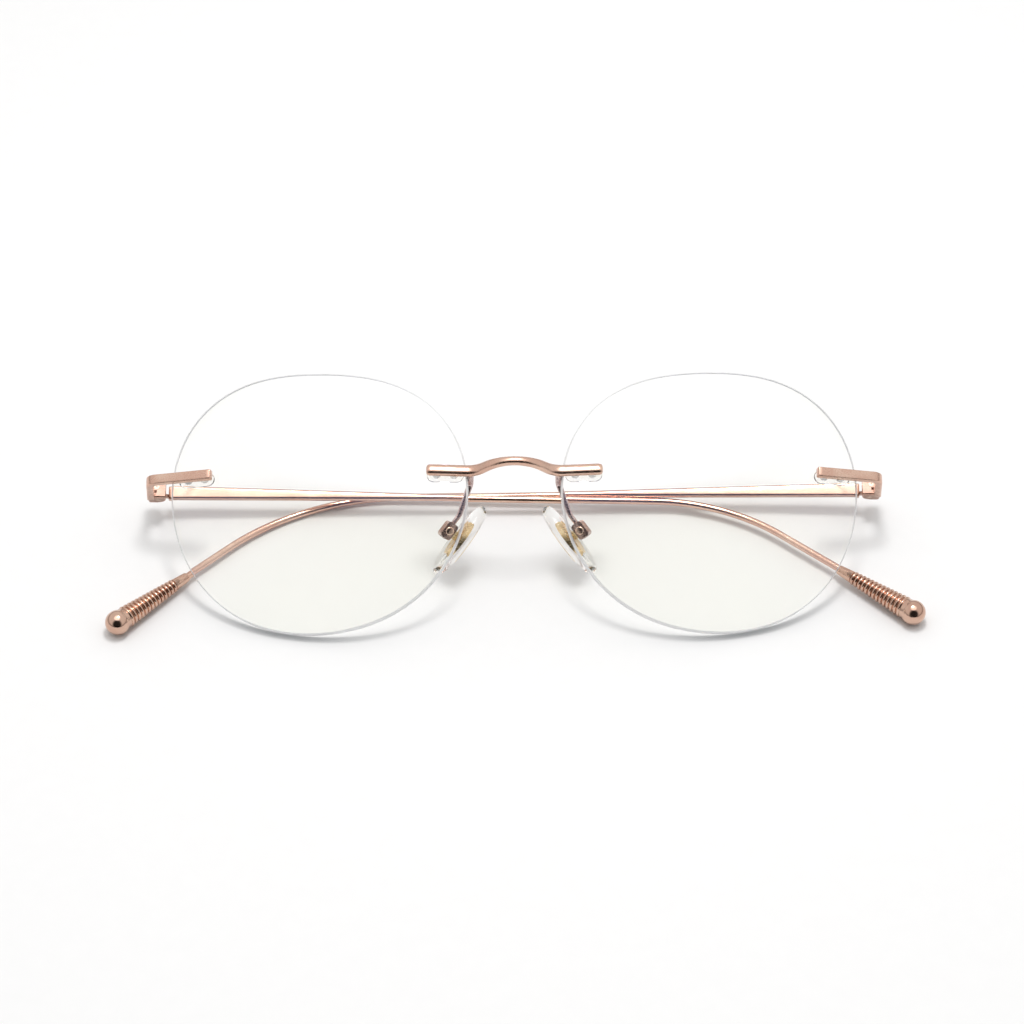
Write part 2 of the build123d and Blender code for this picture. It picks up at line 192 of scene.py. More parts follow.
def add_rings(bm, rings, material=0):
    """Skins a stack of rings with quads and closes both ends."""
    rows = [[bm.verts.new(p) for p in ring] for ring in rings]
    for low, high in zip(rows, rows[1:]):
        for k in range(len(low)):
            n = (k + 1) % len(low)
            bm.faces.new((low[k], low[n], high[n], high[k])).material_index = material
    for row in (rows[0], rows[-1]):
        middle = bm.verts.new(sum((v.co for v in row), Vector()) / len(row))
        for k in range(len(row)):
            bm.faces.new((row[k], row[(k + 1) % len(row)], middle)).material_index = material


def piece(name, stacks, matrix, materials, sharp=40):
    """One object from stacks of rings, placed by its mesh, with faces outwards."""
    bm = bmesh.new()
    for stack in stacks:
        add_rings(bm, stack)
    return piece_from(name, bm, matrix, materials, sharp)


def piece_from(name, bm, matrix, materials, sharp=40):
    bmesh.ops.transform(bm, matrix=matrix, verts=bm.verts)
    bmesh.ops.recalc_face_normals(bm, faces=bm.faces)
    mesh = bpy.data.meshes.new(name)
    bm.to_mesh(mesh)
    bm.free()
    return shown(name, mesh, materials, sharp)


def shown(name, mesh, materials, sharp=40):
    bands = [polygon.material_index for polygon in mesh.polygons]
    mesh.materials.clear()
    for material in materials:
        mesh.materials.append(material)
    mesh.polygons.foreach_set("material_index", [min(band, len(materials) - 1) for band in bands])
    mesh.polygons.foreach_set("use_smooth", [True] * len(mesh.polygons))
    mesh.set_sharp_from_angle(angle=math.radians(sharp))
    obj = bpy.data.objects.new(name, mesh)
    bpy.context.scene.collection.objects.link(obj)
    return obj


def belongs(obj, body, slot, *nodes):
    """The piece moves with a CAD body and stands for CAD nodes. slot is not used."""
    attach(obj, body)
    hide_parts(*nodes)
    print(obj.name, "faces:", len(obj.data.polygons))


# %% [markdown]
# ## Finishes
# The metal is plated in rose gold over a brushed base: a warm pink-brown mirror whose fine scratches run
# along the bars. What makes it read as plating is not one colour but three things that change over it:
# long scratches that spread the reflection, slow patches of thinner and thicker plating, and tiny pits.
# Every metal needs them at its own scale, so they are one shader node group, placed in each material.

# %% Shader group: plated metal
def nodes_of(tree, kind, **settings):
    node = tree.nodes.new(kind)
    for key, value in settings.items():
        setattr(node, key, value)
    return node


def plating_group():
    tree = bpy.data.node_groups.new("Plated metal", "ShaderNodeTree")
    for name, kind in (("Vector", "NodeSocketVector"), ("Plate", "NodeSocketColor"),
                       ("Worn plate", "NodeSocketColor"), ("Scratches", "NodeSocketFloat"),
                       ("Patches", "NodeSocketFloat"), ("Smoothest", "NodeSocketFloat"),
                       ("Roughest", "NodeSocketFloat")):
        tree.interface.new_socket(name, in_out="INPUT", socket_type=kind)
    for name, kind in (("Colour", "NodeSocketColor"), ("Roughness", "NodeSocketFloat"),
                       ("Height", "NodeSocketFloat")):
        tree.interface.new_socket(name, in_out="OUTPUT", socket_type=kind)
    inside = nodes_of(tree, "NodeGroupInput")
    outside = nodes_of(tree, "NodeGroupOutput")
    link = tree.links.new

    stretch = nodes_of(tree, "ShaderNodeMapping")
    stretch.inputs["Scale"].default_value = (0.06, 1, 1)
    link(inside.outputs["Vector"], stretch.inputs["Vector"])
    scratches = nodes_of(tree, "ShaderNodeTexNoise")
    scratches.inputs["Detail"].default_value = 4
    link(stretch.outputs["Vector"], scratches.inputs["Vector"])
    link(inside.outputs["Scratches"], scratches.inputs["Scale"])

    patches = nodes_of(tree, "ShaderNodeTexNoise")
    patches.inputs["Detail"].default_value = 3
    link(inside.outputs["Vector"], patches.inputs["Vector"])
    link(inside.outputs["Patches"], patches.inputs["Scale"])
    pits = nodes_of(tree, "ShaderNodeTexVoronoi", feature="F1")
    link(inside.outputs["Vector"], pits.inputs["Vector"])
    pit_scale = nodes_of(tree, "ShaderNodeMath", operation="MULTIPLY")
    pit_scale.inputs[1].default_value = 3
    link(inside.outputs["Patches"], pit_scale.inputs[0])
    link(pit_scale.outputs[0], pits.inputs["Scale"])

    where_worn = nodes_of(tree, "ShaderNodeMapRange")
    where_worn.inputs["From Min"].default_value = 0.42
    where_worn.inputs["From Max"].default_value = 0.72
    link(patches.outputs["Fac"], where_worn.inputs["Value"])
    colour = nodes_of(tree, "ShaderNodeMix", data_type="RGBA")
    link(where_worn.outputs["Result"], colour.inputs["Factor"])
    link(inside.outputs["Plate"], colour.inputs[6])
    link(inside.outputs["Worn plate"], colour.inputs[7])
    link(colour.outputs[2], outside.inputs["Colour"])

    spread = nodes_of(tree, "ShaderNodeMapRange")
    spread.inputs["From Min"].default_value = 0.3
    spread.inputs["From Max"].default_value = 0.7
    link(scratches.outputs["Fac"], spread.inputs["Value"])
    link(inside.outputs["Smoothest"], spread.inputs["To Min"])
    link(inside.outputs["Roughest"], spread.inputs["To Max"])
    link(spread.outputs["Result"], outside.inputs["Roughness"])

    pit_depth = nodes_of(tree, "ShaderNodeMapRange")
    pit_depth.inputs["From Max"].default_value = 0.12
    pit_depth.inputs["To Min"].default_value = -0.5
    pit_depth.inputs["To Max"].default_value = 0.0
    link(pits.outputs["Distance"], pit_depth.inputs["Value"])
    height = nodes_of(tree, "ShaderNodeMath", operation="ADD")
    link(scratches.outputs["Fac"], height.inputs[0])
    link(pit_depth.outputs["Result"], height.inputs[1])
    link(height.outputs[0], outside.inputs["Height"])
    return tree


plating = plating_group()


def plated(name, plate, worn, scratches, patches, smoothest, roughest, bump, turn=(0, 0, 0)):
    """A rose gold plated metal. scratches and patches count them per metre."""
    material = bpy.data.materials.new(name)
    material.use_nodes = True
    tree = material.node_tree
    shader = tree.nodes["Principled BSDF"]
    shader.inputs["Metallic"].default_value = 1.0
    place = nodes_of(tree, "ShaderNodeTexCoord")
    lay = nodes_of(tree, "ShaderNodeMapping")
    lay.inputs["Rotation"].default_value = [math.radians(a) for a in turn]
    group = nodes_of(tree, "ShaderNodeGroup", node_tree=plating)
    group.inputs["Plate"].default_value = (*plate, 1)
    group.inputs["Worn plate"].default_value = (*worn, 1)
    for key, value in (("Scratches", scratches), ("Patches", patches), ("Smoothest", smoothest),
                       ("Roughest", roughest)):
        group.inputs[key].default_value = value
    dent = nodes_of(tree, "ShaderNodeBump")
    dent.inputs["Strength"].default_value = bump
    dent.inputs["Distance"].default_value = 0.02 * MM
    tree.links.new(place.outputs["Object"], lay.inputs["Vector"])
    tree.links.new(lay.outputs["Vector"], group.inputs["Vector"])
    tree.links.new(group.outputs["Colour"], shader.inputs["Base Color"])
    tree.links.new(group.outputs["Roughness"], shader.inputs["Roughness"])
    tree.links.new(group.outputs["Height"], dent.inputs["Height"])
    tree.links.new(dent.outputs["Normal"], shader.inputs["Normal"])
    return material


ROSE = (0.67, 0.43, 0.335)
ROSE_WORN = (0.75, 0.54, 0.43)
brushed_bar = plated("Brushed rose gold bar", ROSE, ROSE_WORN, 9000, 260, 0.16, 0.34, 0.25)
polished_arm = plated("Polished rose gold temple", ROSE, ROSE_WORN, 7000, 180, 0.10, 0.22, 0.12)
turned_tip = plated("Turned rose gold tip", (0.60, 0.38, 0.29), (0.70, 0.49, 0.38),
                    5000, 300, 0.08, 0.18, 0.10, turn=(0, 0, 60))
satin_hinge = plated("Satin rose gold hinge", (0.54, 0.34, 0.27), (0.66, 0.45, 0.36),
                     8000, 420, 0.18, 0.36, 0.25)
# The pad arm wire is rose gold, but its plate is greyer and more lavender than the frame's: that tone is a
# painted reflection of the lens's violet coating lying over the arms.
pad_wire_painted_reflection = plated("Rose gold wire with painted lens reflection", (0.60, 0.46, 0.45), (0.70, 0.56, 0.52), 6000, 500, 0.18, 0.32, 0.2)
screw_metal = plated("Polished screw", (0.78, 0.56, 0.45), (0.88, 0.70, 0.56), 12000, 900, 0.08, 0.2, 0.2)
fitting_metal = plated("Pad fitting", (0.55, 0.40, 0.35), (0.68, 0.50, 0.42), 9000, 700, 0.16, 0.32, 0.25)
core_gold = plated("Gold pad core", (0.83, 0.62, 0.34), (0.90, 0.72, 0.46), 6000, 500, 0.2, 0.36, 0.2)
print("metals:", len(bpy.data.materials))

# %% [markdown]
# ## Clear materials
# Lenses, plugs and nose pads are all clear, and differ in how clear and how smooth. Each is a Principled
# shader with full transmission, so it bends what is behind it. A lamp's light would otherwise stop at the
# first surface and leave a black shadow, so for shadow and diffuse rays the shader is swapped for a
# tinted Transparent one: that is the faint yellow-green shade a coated lens leaves on white paper. The
# ground edge of a lens lets only half the light through, which draws the grey line round each lens.

# %% Shader group: haze that changes over a clear surface
def haze_group():
    tree = bpy.data.node_groups.new("Smudge and haze", "ShaderNodeTree")
    for name, kind in (("Vector", "NodeSocketVector"), ("Size", "NodeSocketFloat"),
                       ("Cleanest", "NodeSocketFloat"), ("Haziest", "NodeSocketFloat")):
        tree.interface.new_socket(name, in_out="INPUT", socket_type=kind)
    for name in ("Roughness", "Height"):
        tree.interface.new_socket(name, in_out="OUTPUT", socket_type="NodeSocketFloat")
    inside = nodes_of(tree, "NodeGroupInput")
    outside = nodes_of(tree, "NodeGroupOutput")
    cloud = nodes_of(tree, "ShaderNodeTexNoise")
    cloud.inputs["Detail"].default_value = 5
    tree.links.new(inside.outputs["Vector"], cloud.inputs["Vector"])
    tree.links.new(inside.outputs["Size"], cloud.inputs["Scale"])
    level = nodes_of(tree, "ShaderNodeMapRange")
    level.inputs["From Min"].default_value = 0.35
    level.inputs["From Max"].default_value = 0.75
    tree.links.new(cloud.outputs["Fac"], level.inputs["Value"])
    tree.links.new(inside.outputs["Cleanest"], level.inputs["To Min"])
    tree.links.new(inside.outputs["Haziest"], level.inputs["To Max"])
    tree.links.new(level.outputs["Result"], outside.inputs["Roughness"])
    tree.links.new(cloud.outputs["Fac"], outside.inputs["Height"])
    return tree


haze = haze_group()


def clear(name, tint, shade, ior, size, cleanest, haziest, bump,
          reflection=0.5, gleam=(1, 1, 1), passes=1.0):
    """A clear material. shade is what it does to lamplight; passes is how much light goes through."""
    material = bpy.data.materials.new(name)
    material.use_nodes = True
    tree = material.node_tree
    shader = tree.nodes["Principled BSDF"]
    shader.inputs["Base Color"].default_value = (*tint, 1)
    shader.inputs["Transmission Weight"].default_value = passes
    shader.inputs["IOR"].default_value = ior
    shader.inputs["Specular IOR Level"].default_value = reflection
    shader.inputs["Specular Tint"].default_value = (*gleam, 1)
    place = nodes_of(tree, "ShaderNodeTexCoord")
    group = nodes_of(tree, "ShaderNodeGroup", node_tree=haze)
    for key, value in (("Size", size), ("Cleanest", cleanest), ("Haziest", haziest)):
        group.inputs[key].default_value = value
    dent = nodes_of(tree, "ShaderNodeBump")
    dent.inputs["Strength"].default_value = bump
    dent.inputs["Distance"].default_value = 0.02 * MM
    tree.links.new(place.outputs["Object"], group.inputs["Vector"])
    tree.links.new(group.outputs["Roughness"], shader.inputs["Roughness"])
    tree.links.new(group.outputs["Height"], dent.inputs["Height"])
    tree.links.new(dent.outputs["Normal"], shader.inputs["Normal"])

    path = nodes_of(tree, "ShaderNodeLightPath")
    either = nodes_of(tree, "ShaderNodeMath", operation="MAXIMUM")
    through = nodes_of(tree, "ShaderNodeBsdfTransparent")
    through.inputs["Color"].default_value = (*shade, 1)
    swap = nodes_of(tree, "ShaderNodeMixShader")
    tree.links.new(path.outputs["Is Shadow Ray"], either.inputs[0])
    tree.links.new(path.outputs["Is Diffuse Ray"], either.inputs[1])
    tree.links.new(either.outputs[0], swap.inputs["Fac"])
    tree.links.new(shader.outputs["BSDF"], swap.inputs[1])
    tree.links.new(through.outputs["BSDF"], swap.inputs[2])
    tree.links.new(swap.outputs["Shader"], tree.nodes["Material Output"].inputs["Surface"])
    return material


coated_lens = clear("Coated lens", (0.995, 0.995, 0.988), (0.993, 0.993, 0.987), 1.5, 40, 0.0, 0.02, 0.0,
                    reflection=0.5, gleam=(0.60, 0.57, 1.0))
lens_edge = clear("Ground lens edge", (0.74, 0.75, 0.76), (0.22, 0.23, 0.24), 1.5, 900, 0.3, 0.5, 0.3,
                  passes=0.5)
clear_plug = clear("Clear plug", (0.98, 0.98, 0.975), (0.96, 0.96, 0.955), 1.4, 500, 0.02, 0.12, 0.1)
silicone = clear("Clear silicone", (0.985, 0.985, 0.975), (0.96, 0.96, 0.955), 1.36, 350, 0.03, 0.1, 0.25)

# %% [markdown]
# ## Lenses
# Each lens is a shallow bowl 1.8 mm thick, cut to a rounded outline, with its edge ground flat and a tiny
# safety bevel on both corners. A flat disc would show no reflections of its own, so both faces follow
# their true spheres: rings of points run from the centre of the front, over the edge, to the centre of
# the back. The four post holes are cut with a Boolean, the quickest way to get clean round holes.

# %% Lens outline and lens mesh
RIM_POINTS = 240
RIM_RADIUS = 24.9
SAFETY_BEVEL = 0.22
HOLE_RADIUS = 0.71
DRILL_REACH = (-3, 6)


def lens_outline(angle):
    """A circle with a few slow waves: wider than tall, and squarer towards the brow."""
    radius = RIM_RADIUS + 1.48 * math.cos(2 * angle) + 0.52 * math.sin(3 * angle)
    radius -= 0.30 * math.cos(4 * angle) + 0.19 * math.cos(3 * angle)
    return radius * math.cos(angle), radius * math.sin(angle)


def lens_surface(u, v, depth):
    """depth 0 is the front face and LENS_THICKNESS the back one."""
    radius = LENS_CURVE - depth
    return Vector((u, LENS_CURVE - math.sqrt(radius ** 2 - u ** 2 - v ** 2), v))


def lens_rings():
    """Rings with the material of the band that follows each: 0 face, 1 ground edge."""
    rim = [lens_outline(2 * math.pi * k / RIM_POINTS) for k in range(RIM_POINTS)]
    faces = [0.04, 0.12, 0.22, 0.32, 0.42, 0.52, 0.62, 0.72, 0.81, 0.89, 0.95]
    rings = []
    for part in faces:
        rings.append(([lens_surface(u * part, v * part, 0) for u, v in rim], 0))
    for inset, depth in ((SAFETY_BEVEL, 0), (0, SAFETY_BEVEL), (0, LENS_THICKNESS - SAFETY_BEVEL)):
        ring = []
        for u, v in rim:
            part = 1 - inset / math.hypot(u, v)
            point = lens_surface(u * part, v * part, 0 if depth < 1 else LENS_THICKNESS)
            point.y += depth if depth < 1 else depth - LENS_THICKNESS
            ring.append(point)
        rings.append((ring, 1))
    part_back = 1 - SAFETY_BEVEL / RIM_RADIUS
    rings.append(([lens_surface(u * part_back, v * part_back, LENS_THICKNESS) for u, v in rim], 0))
    for part in reversed(faces):
        rings.append(([lens_surface(u * part, v * part, LENS_THICKNESS) for u, v in rim], 0))
    return rings


def lens_blank(name, side):
    bm = bmesh.new()
    rings = lens_rings()
    rows = [([bm.verts.new(p) for p in ring], material) for ring, material in rings]
    for (low, material), (high, _) in zip(rows, rows[1:]):
        for k in range(RIM_POINTS):
            n = (k + 1) % RIM_POINTS
            bm.faces.new((low[k], low[n], high[n], high[k])).material_index = material
    for row in (rows[0][0], rows[-1][0]):
        middle = bm.verts.new(sum((v.co for v in row), Vector()) / len(row))
        for k in range(RIM_POINTS):
            bm.faces.new((row[k], row[(k + 1) % RIM_POINTS], middle))
    return piece_from(name, bm, to_table(side) @ lens_frame, [coated_lens, lens_edge], sharp=25)


def drilled(blank, side):
    """Cuts the four post holes and gives back a plain mesh piece."""
    bm = bmesh.new()
    for mount in (nasal_frame, temporal_frame):
        for x in POST_PLACES:
            start, end = [mount @ Vector((x, depth, 0)) for depth in DRILL_REACH]
            add_rings(bm, round_rod(start, end, HOLE_RADIUS, 0.01))
    drill = piece_from("drill", bm, to_table(side), [lens_edge])
    cut = blank.modifiers.new("Holes", "BOOLEAN")
    cut.operation = "DIFFERENCE"
    cut.solver = "EXACT"
    cut.object = drill
    cut.material_mode = "TRANSFER"
    bpy.context.view_layer.update()
    evaluated = blank.evaluated_get(bpy.context.evaluated_depsgraph_get())
    mesh = bpy.data.meshes.new_from_object(evaluated)
    name = blank.name
    bpy.data.objects.remove(blank)
    bpy.data.objects.remove(drill)
    mesh.name = name
    print(name, "ground faces:", sum(p.material_index for p in mesh.polygons))
    return shown(name, mesh, [coated_lens, lens_edge], sharp=25)


for side in SIDES:
    lens = drilled(lens_blank(side + "_lens_shown", side), side)
    belongs(lens, "front", "coated_lens", side + "_lens")

# %% [markdown]
# ## Bridge
# The bridge is one oval bar: a straight seat on each lens, and between them an arch that rises forwards,
# clear of the nose. The real one is bent from drawn wire and pressed, so it is tall where it sits on the
# lenses and thins towards the crest. It is swept along straight runs and arcs, with the oval's tall side
# across the arch's plane.

# %% Bridge and its posts
BAR_REACH = 3.45
BEND_X = 6.9
BEND_SLOPE = 40.0
ARCH_TILT = 12.0
BRIDGE_HALF = (0.75, 1.04)
CREST_HALF_HEIGHT = 0.76
SEAT_LENGTH = 7.0
BRIDGE_RADII = [4.0, 7.5, 4.0]
POST_RADIUS = 0.5
POST_END = LENS_THICKNESS + 0.92


def post_rods(mount, depth):
    """Two posts from the middle of a bar, through the lens and the clear plug behind it."""
    rods = []
    for x in POST_PLACES:
        start, end = [mount @ Vector((x, y, 0)) for y in (-depth / 2, POST_END)]
        rods.append(round_rod(start, end, POST_RADIUS))
    return rods


def bridge_path():
    seat = -SEAT_GAP - BRIDGE_HALF[0]
    tilt = math.radians(ARCH_TILT)
    outer = nasal_frame @ Vector((BAR_REACH, seat, 0))
    bend = nasal_frame @ Vector((BEND_X - nasal_frame.translation.x, seat, 0))
    outer.z = bend.z + (bend.y - outer.y) * math.tan(tilt)
    rise = bend.x * math.tan(math.radians(BEND_SLOPE))
    crest = Vector((0, bend.y - rise * math.cos(tilt), bend.z + rise * math.sin(tilt)))
    far = [Vector((-p.x, p.y, p.z)) for p in (bend, outer)]
    return denser(rounded_path([outer, bend, crest, *far], BRIDGE_RADII, step=0.35), 0.8)


def bar_section(run, length):
    """Full height on the seats, thinner towards the crest."""
    from_seat = min(abs(run - length / 2) / (length / 2 - SEAT_LENGTH), 1)
    ease = from_seat ** 2 * (3 - 2 * from_seat)
    return BRIDGE_HALF[0], CREST_HALF_HEIGHT + (BRIDGE_HALF[1] - CREST_HALF_HEIGHT) * ease, 2.3


tilt = math.radians(ARCH_TILT)
bar_path = bridge_path()
bar_length = sum((b - a).length for a, b in zip(bar_path, bar_path[1:]))
bar_rings = swept_rings(bar_path, (0, math.sin(tilt), math.cos(tilt)),
                        lambda run: bar_section(run, bar_length), 0.6)
flip = Matrix.Diagonal((-1, 1, 1, 1))
post_stacks = []
for stack in post_rods(nasal_frame, 1.5):
    post_stacks += [stack, [[flip @ p for p in ring] for ring in stack]]
bridge = piece("bridge_shown", [bar_rings, *post_stacks], to_table("left"), [brushed_bar])
belongs(bridge, "front", "frame_metal", "bridge")

# %% [markdown]
# ## Endpieces
# An endpiece is a flat bar that sits on the lens, wraps round its outer edge and runs back to the hinge.
# Its front is brushed flat and its long edges are only just broken, which is why it catches light as one
# clean plane. The section is a rounded rectangle, swept round one tight bend.

# %% Endpieces and their posts
BAR_HALF = (0.64, 0.9)
ENDPIECE_RADIUS = 1.76
BAR_HALF_WIDTH = 64.65
FRAME_HALF_WIDTH = 65.3
BLOCK_FRONT = 1.6


def endpiece_path():
    seat = -SEAT_GAP - BAR_HALF[0]
    inner = temporal_frame @ Vector((-3.5, seat, 0))
    along = (temporal_frame @ Vector((-2.5, seat, 0))) - inner
    corner = inner + along * ((BAR_HALF_WIDTH - BAR_HALF[0] - inner.x) / along.x)
    back = Vector((FRAME_HALF_WIDTH - BAR_HALF[0], HINGE.y - BLOCK_FRONT, corner.z))
    return denser(rounded_path([inner, corner, back], [ENDPIECE_RADIUS], step=0.15), 0.8)


for side in SIDES:
    stacks = [swept_rings(endpiece_path(), (0, 0, 1), lambda run: (*BAR_HALF, 7), 0.22)]
    stacks += post_rods(temporal_frame, 1.3)
    bar = piece(side + "_endpiece_shown", stacks, to_table(side), [brushed_bar], sharp=50)
    belongs(bar, "front", "frame_metal", side + "_endpiece")

# %% [markdown]
# ## Temples
# Each temple starts as a flat arm at the hinge and thins over 50 mm into a round wire, which then curls
# down and in behind the ear. The change of section is the whole character of the piece, so the section's
# width, height and squareness all ease together along the path.

# %% Temple arms and wires
TEMPLE_OFFSET = 1.14
ARM_START = 1.75
TAPER_END = 50.0
ARM_HALF = (0.675, 1.225)
WIRE_HALF = 0.625
EAR_BEND = {"left": (83.5, 41.2, 47.1, 143.7), "right": (88.7, 33.8, 40.6, 141.7)}
TIP_LENGTH = 16.0
WIRE_IN_TIP = 9.7


def temple_line(side):
    """Corners of the centre line in the temple frame, and the direction the wire ends in."""
    start, radius, angle, length = EAR_BEND[side]
    half = math.radians(angle) / 2
    curl = math.radians(CURL[side])
    reach = radius * math.tan(half)
    corner = Vector((start + reach, -TEMPLE_OFFSET, 0))
    down = math.sin(2 * half)
    ahead = Vector((math.cos(2 * half), math.sin(curl) * down, -math.cos(curl) * down))
    tail = length - start - radius * 2 * half
    return corner, corner + ahead * (reach + tail), ahead


def arm_section(run):
    """Flat and squarish at the hinge, round wire after the taper."""
    part = min(run / (TAPER_END - ARM_START), 1)
    width = ARM_HALF[0] + (WIRE_HALF - ARM_HALF[0]) * part
    height = ARM_HALF[1] + (WIRE_HALF - ARM_HALF[1]) * part
    return width, height, 7 - 5 * part ** 0.6


for side in SIDES:
    corner, ball, ahead = temple_line(side)
    start = Vector((ARM_START, -TEMPLE_OFFSET, 0))
    end = ball - ahead * (TIP_LENGTH - WIRE_IN_TIP)
    path = denser(rounded_path([start, corner, end], [EAR_BEND[side][1]], step=0.8), 1.2)
    rings = swept_rings(path, (0, 0, 1), arm_section, 0.12)
    arm = piece(side + "_temple_shown", [rings], to_table(side) @ temple_frame(side), [polished_arm])
    belongs(arm, side + "_temple_arm", "temple_metal", side + "_temple")

# %% [markdown]
# ## Ribbed tips
# The tips are turned on a lathe: a plain cone at the mouth, fourteen rounded ribs that grow with the
# cone, and a polished ball. Ribs repeat along an axis, so they are Geometry Nodes: one round ring is
# instanced on a line of points and scaled across, not along, so each is larger but no wider than the
# last. The rib count, pitch and sizes are named inputs, so another tip needs only new numbers.

# %% Geometry Nodes: ribs on a cone
RING_COUNT = 14
RING_HEIGHT = 0.11
CORE_POINTS = 48
BALL_RADIUS = 2.2
MOUTH_RADIUS = 0.86
END_RADIUS = 2.03
PLAIN_LENGTH = 3.0
RING_ZONE = TIP_LENGTH - PLAIN_LENGTH - BALL_RADIUS * 0.75
PITCH = RING_ZONE / RING_COUNT
GROOVE = 0.32
RIB_HALF_WIDTH = 0.33


def rib_tree(metal):
    tree = bpy.data.node_groups.new("Ribs on a cone", "GeometryNodeTree")
    tree.interface.new_socket("Geometry", in_out="INPUT", socket_type="NodeSocketGeometry")
    for name, kind in (("Rib count", "NodeSocketInt"), ("First place", "NodeSocketFloat"),
                       ("Pitch", "NodeSocketFloat"), ("First radius", "NodeSocketFloat"),
                       ("Radius step", "NodeSocketFloat"), ("Rib half width", "NodeSocketFloat")):
        tree.interface.new_socket(name, in_out="INPUT", socket_type=kind)
    tree.interface.new_socket("Geometry", in_out="OUTPUT", socket_type="NodeSocketGeometry")
    inside = nodes_of(tree, "NodeGroupInput")
    outside = nodes_of(tree, "NodeGroupOutput")
    link = tree.links.new

    start = nodes_of(tree, "ShaderNodeCombineXYZ")
    link(inside.outputs["First place"], start.inputs["X"])
    step = nodes_of(tree, "ShaderNodeCombineXYZ")
    link(inside.outputs["Pitch"], step.inputs["X"])
    line = nodes_of(tree, "GeometryNodeMeshLine")
    link(inside.outputs["Rib count"], line.inputs["Count"])
    link(start.outputs["Vector"], line.inputs["Start Location"])
    link(step.outputs["Vector"], line.inputs["Offset"])

    hoop = nodes_of(tree, "GeometryNodeCurvePrimitiveCircle")
    hoop.inputs["Resolution"].default_value = 48
    hoop.inputs["Radius"].default_value = 1
    upright = nodes_of(tree, "GeometryNodeTransform")
    upright.inputs["Rotation"].default_value = (0, math.radians(90), 0)
    link(hoop.outputs["Curve"], upright.inputs["Geometry"])
    bead = nodes_of(tree, "GeometryNodeCurvePrimitiveCircle")
    bead.inputs["Resolution"].default_value = 14
    link(inside.outputs["Rib half width"], bead.inputs["Radius"])
    torus = nodes_of(tree, "GeometryNodeCurveToMesh")
    link(upright.outputs["Geometry"], torus.inputs["Curve"])
    link(bead.outputs["Curve"], torus.inputs["Profile Curve"])

    index = nodes_of(tree, "GeometryNodeInputIndex")
    grown = nodes_of(tree, "ShaderNodeMath", operation="MULTIPLY_ADD")
    link(index.outputs["Index"], grown.inputs[0])
    link(inside.outputs["Radius step"], grown.inputs[1])
    link(inside.outputs["First radius"], grown.inputs[2])
    size = nodes_of(tree, "ShaderNodeCombineXYZ")
    size.inputs["X"].default_value = 1.0
    link(grown.outputs[0], size.inputs["Y"])
    link(grown.outputs[0], size.inputs["Z"])
    ribs = nodes_of(tree, "GeometryNodeInstanceOnPoints")
    link(line.outputs["Mesh"], ribs.inputs["Points"])
    link(torus.outputs["Mesh"], ribs.inputs["Instance"])
    link(size.outputs["Vector"], ribs.inputs["Scale"])

    both = nodes_of(tree, "GeometryNodeJoinGeometry")
    link(inside.outputs["Geometry"], both.inputs["Geometry"])
    link(ribs.outputs["Instances"], both.inputs["Geometry"])
    real = nodes_of(tree, "GeometryNodeRealizeInstances")
    link(both.outputs["Geometry"], real.inputs["Geometry"])
    coat = nodes_of(tree, "GeometryNodeSetMaterial")
    coat.inputs["Material"].default_value = metal
    link(real.outputs["Geometry"], coat.inputs["Geometry"])
    link(coat.outputs["Geometry"], outside.inputs["Geometry"])
    return tree


rib_nodes = rib_tree(turned_tip)
print("one rib every", round(PITCH, 3), "mm")


# %% The turned core, and the finished tips
def cone_radius(x):
    """The cone's radius at x, where 0 is the middle of the ball."""
    return END_RADIUS + (MOUTH_RADIUS - END_RADIUS) * (-x / TIP_LENGTH)


def turned_core():
    """Rings from the mouth of the tip to the far side of the ball."""
    neck_x = -TIP_LENGTH + PLAIN_LENGTH + RING_ZONE
    neck = cone_radius(neck_x) - 0.04
    profile = [(-TIP_LENGTH, MOUTH_RADIUS - 0.14), (-TIP_LENGTH + 0.04, MOUTH_RADIUS - 0.05),
               (-TIP_LENGTH + 0.14, MOUTH_RADIUS)]
    profile += [(x - TIP_LENGTH, cone_radius(x - TIP_LENGTH)) for x in (1, 2, PLAIN_LENGTH)]
    ribs_x = PLAIN_LENGTH - TIP_LENGTH
    profile += [(ribs_x + 0.15, cone_radius(ribs_x + 0.1) - GROOVE),
                (neck_x - 0.3, neck - GROOVE / 2), (neck_x, neck)]
    meet = math.pi - math.asin(neck / BALL_RADIUS)
    for k in range(25):
        a = meet * (1 - k / 24.5)
        profile.append((BALL_RADIUS * math.cos(a), BALL_RADIUS * math.sin(a)))
    rings = []
    for x, radius in profile:
        rings.append([Vector((x, radius * math.cos(t), radius * math.sin(t)))
                      for t in (2 * math.pi * k / CORE_POINTS for k in range(CORE_POINTS))])
    return rings


